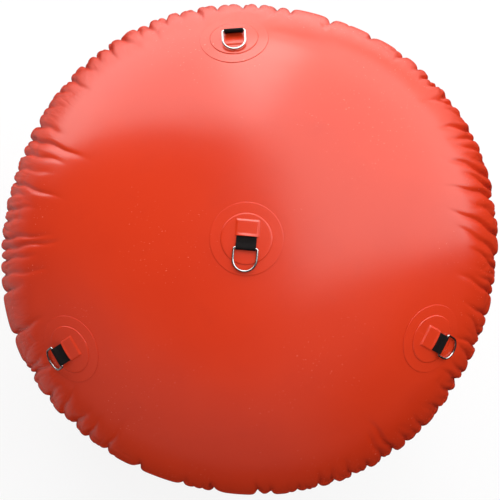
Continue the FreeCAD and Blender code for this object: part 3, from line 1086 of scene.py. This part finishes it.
print("side view of the middle loop:", len(loop_line(fittings[0])), "points")

# %% [markdown]
# ## The ribbons
#
# Each point of the side view knows how far along the ribbon it is. Extrude copies that
# number to the new points, and it becomes the second UV coordinate.

# %% Webbing loops
COLUMNS = 16


def ribbon(fitting):
    line = loop_line(fitting)
    runs = [0.0]
    for before, after in zip(line, line[1:]):
        runs.append(runs[-1] + (after - before).length)
    bm = bmesh.new()
    run_of = bm.verts.layers.float.new("run")
    row = []
    for point, run in zip(line, runs):
        vert = bm.verts.new((point.x, -WEBBING_WIDTH / 2, point.y))
        vert[run_of] = run
        row.append(vert)
    edge = [bm.edges.new(pair) for pair in zip(row, row[1:])]
    for _ in range(COLUMNS):
        fresh, edge = extruded(bm, edge)
        bmesh.ops.translate(bm, verts=fresh, vec=(0, WEBBING_WIDTH / COLUMNS, 0))
    uv = bm.loops.layers.uv.new("Ribbon")
    for face in bm.faces:
        for loop in face.loops:
            loop[uv].uv = (loop.vert.co.y, loop.vert[run_of])
    bmesh.ops.transform(bm, matrix=fitting["matrix"], verts=bm.verts)
    return bm


for fitting in fittings:
    name = fitting["name"] + "_strap"
    piece = finish_mesh(name, ribbon(fitting), webbing_finish)
    solidify(piece, PLY - 0.00008, offset=0.0)
    rounded = piece.modifiers.new("Selvedge", "BEVEL")
    rounded.width = 0.0003
    rounded.segments = 2
    rounded.limit_method = "ANGLE"
    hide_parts(fitting["name"] + "_webbing")

# %% [markdown]
# ## Polished steel
#
# The rings are polished, but not like a mirror: fingers have left smears, which are duller
# and a little darker, and use has left fine scratches.

# %% Finish of the steel


def polished_steel(name):
    material, shade, shader = new_finish(name, Metallic=1.0)
    place = object_place(shade)
    smear = noise(shade, place, 160.0, detail=4.0, roughness=0.6)
    scratch = noise(shade, place, 700.0, detail=3.0, roughness=0.6, stretch=(1.0, 0.15, 1.0))
    base = smear.step(0.35, 0.75).mix(colour(0.66, 0.65, 0.63), colour(0.48, 0.46, 0.45))
    rough = 0.13 + 0.16 * smear.step(0.45, 0.75) + 0.10 * scratch.step(0.55, 0.75)
    feed(shader, Base_Color=base, Roughness=rough, Normal=bump(shade, scratch, 0.12, 0.0001))
    return material


steel = polished_steel("Polished steel")

# %% [markdown]
# ## Wire rings
#
# Each ring is a D of round steel wire. A circle of points is its section: Extrude makes
# the straight runs and Spin the bends, in the order that a wire bender would. The ring's
# place comes from its own hinge and from the engineering solid's furthest point.

# %% Rings
RING_HALF = 0.02225         # half the bar, and the radius of the D's crown
RING_DEPTH = 0.043
CORNER = 0.003              # radius of the bend between bar and leg


def straight(bm, edges, vector):
    fresh, ahead = extruded(bm, edges)
    bmesh.ops.translate(bm, verts=fresh, vec=vector)
    return ahead


def bent(bm, edges, centre, degrees, steps):
    verts = list({vert for edge in edges for vert in edge.verts})
    made = bmesh.ops.spin(
        bm, geom=verts + edges, cent=centre, axis=(0, 0, 1), angle=math.radians(degrees), steps=steps,
    )
    return [part for part in made["geom_last"] if isinstance(part, bmesh.types.BMEdge)]


def wire_ring():
    """The D about its bar on Y, with its crown on +X."""
    bm = bmesh.new()
    bmesh.ops.create_circle(bm, segments=20, radius=WIRE)
    bmesh.ops.rotate(bm, verts=bm.verts, matrix=Matrix.Rotation(math.pi / 2, 3, "X"))
    bmesh.ops.translate(bm, verts=bm.verts, vec=(0, CORNER - RING_HALF, 0))
    edges = list(bm.edges)
    straight_bar = 2 * (RING_HALF - CORNER)
    leg = RING_DEPTH - RING_HALF - CORNER
    for _ in range(3):
        edges = straight(bm, edges, (0, straight_bar / 3, 0))
    edges = bent(bm, edges, (CORNER, RING_HALF - CORNER, 0), -90, 8)
    for _ in range(2):
        edges = straight(bm, edges, (leg / 2, 0, 0))
    edges = bent(bm, edges, (RING_DEPTH - RING_HALF, 0, 0), -180, 32)
    for _ in range(2):
        edges = straight(bm, edges, (-leg / 2, 0, 0))
    bent(bm, edges, (CORNER, CORNER - RING_HALF, 0), -90, 8)
    bmesh.ops.remove_doubles(bm, verts=bm.verts, dist=1e-5)
    bmesh.ops.recalc_face_normals(bm, faces=bm.faces)
    return bm


for fitting in fittings:
    name = fitting["name"] + "_ring"
    hinge = hinges[name + "_swing"]
    bar = Vector(hinge["pos_m"])
    side = Vector(hinge["axis"]).normalized()
    crown = max((vert.co - bar for vert in frame["nodes"][name].data.vertices), key=lambda v: v.length)
    ahead = (crown - side * crown.dot(side)).normalized()
    matrix = Matrix((ahead, side, ahead.cross(side))).transposed().to_4x4()
    matrix.translation = bar
    bm = wire_ring()
    bmesh.ops.transform(bm, matrix=matrix, verts=bm.verts)
    piece = finish_mesh(fitting["name"] + "_wire_ring", bm, steel, body=name)
    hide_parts(name)

# %% [markdown]
# ## Moulded plastic
#
# The valve is hard grey plastic with a fine moulded grain. Hands have wiped parts of it
# paler and duller. The cap is a shade lighter than the flange.

# %% Finish of the valve


def moulded_plastic(name, dark, light, roughness):
    material, shade, shader = new_finish(name, IOR=1.49)
    place = object_place(shade)
    grain = noise(shade, place, 1500.0, detail=2.0)
    wipe = noise(shade, place, 45.0, detail=4.0, roughness=0.6).step(0.4, 0.75)
    feed(
        shader, Base_Color=wipe.mix(dark, light), Roughness=roughness + 0.15 * wipe,
        Normal=bump(shade, grain, 0.15, 0.0001),
    )
    return material


greys = colour(0.045, 0.045, 0.05), colour(0.075, 0.074, 0.078)
valve_plastic = moulded_plastic("Valve plastic", *greys, 0.38)
greys = colour(0.07, 0.07, 0.075), colour(0.11, 0.11, 0.112)
cap_plastic = moulded_plastic("Cap plastic", *greys, 0.42)

# %% [markdown]
# ## The valve
#
# Air goes in through a screw valve on the wall: a flange welded to its doubler, a neck and
# a cap. Flange and cap are turned shapes, so each is one section, in millimetres, spun
# about the valve's axis. The foot of the flange is then bent to the wall.

# %% Valve body


def turned_solid(points, around):
    """Turned about Z from (radius, height) points that start and end on the axis."""
    bm = bmesh.new()
    row = [bm.verts.new((radius / 1000, 0, height / 1000)) for radius, height in points]
    edges = [bm.edges.new(pair) for pair in zip(row, row[1:])]
    bmesh.ops.spin(
        bm, geom=row + edges, cent=(0, 0, 0), axis=(0, 0, 1), angle=2 * math.pi,
        steps=around, use_merge=True,
    )
    bmesh.ops.remove_doubles(bm, verts=bm.verts, dist=1e-6)
    bmesh.ops.recalc_face_normals(bm, faces=bm.faces)
    return bm


body = turned_solid([
    (0, 8.4), (17.0, 8.4), (17.4, 9.0), (20.4, 9.0), (21.0, 8.5), (21.0, 4.4), (21.6, 3.6),
    (22.6, 3.4), (28.0, 3.4), (28.6, 3.0), (29.6, 3.0), (30.2, 3.4), (34.6, 3.4), (35.6, 3.0),
    (36.0, 2.2), (36.0, 1.1), (0, 1.1),
], 96)
for vert in body.verts:
    vert.co.z -= vert.co.x ** 2 / (2 * belly_radius) * (1 - eased((vert.co.z - 0.004) / 0.003))
bmesh.ops.transform(body, matrix=valve_matrix, verts=body.verts)
piece = finish_mesh("Valve_flange", body, valve_plastic)
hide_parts("valve_body")

# %% [markdown]
# ## Screw cap
#
# The cap rides on its own body, so it turns with the hinge. Its skirt is pressed in round
# the edge for the grips, and a bevelled bar for the fingers stands in its recessed top.

# %% Valve cap
GRIPS = 12
GRIP_DEPTH = 0.0012

cap = turned_solid([
    (0, 11.0), (12.6, 11.0), (13.4, 11.4), (14.2, 12.1), (22.4, 12.1), (23.4, 11.7), (23.9, 10.9),
    (23.9, 9.0), (23.9, 7.0), (23.9, 5.0), (23.9, 4.2), (23.5, 3.7), (21.3, 3.7), (21.3, 9.3), (0, 9.3),
], 144)
for vert in cap.verts:
    reach = vert.co.xy.length
    if reach > 0.0230:
        grip = max(0.0, math.cos(GRIPS * math.atan2(vert.co.y, vert.co.x))) ** 2
        vert.co.xy *= 1 - GRIP_DEPTH * grip / reach
bmesh.ops.transform(cap, matrix=valve_matrix, verts=cap.verts)
piece = finish_mesh("Valve_screw_cap", cap, cap_plastic, body="valve_cap")
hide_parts("valve_cap")

grip_bar = bmesh.new()
bmesh.ops.create_cube(grip_bar, size=1.0)
bmesh.ops.scale(grip_bar, verts=grip_bar.verts, vec=(0.025, 0.0048, 0.0021))
bmesh.ops.bevel(
    grip_bar, geom=list(grip_bar.edges), offset=0.0008, segments=3, profile=0.5,
    affect="EDGES", material=-1,
)
bmesh.ops.translate(grip_bar, verts=grip_bar.verts, vec=(0, 0, 0.01135))
bmesh.ops.transform(grip_bar, matrix=valve_matrix, verts=grip_bar.verts)
finish_mesh("Valve_cap_grip", grip_bar, cap_plastic, body="valve_cap")

# %% Finish
print("scene built")
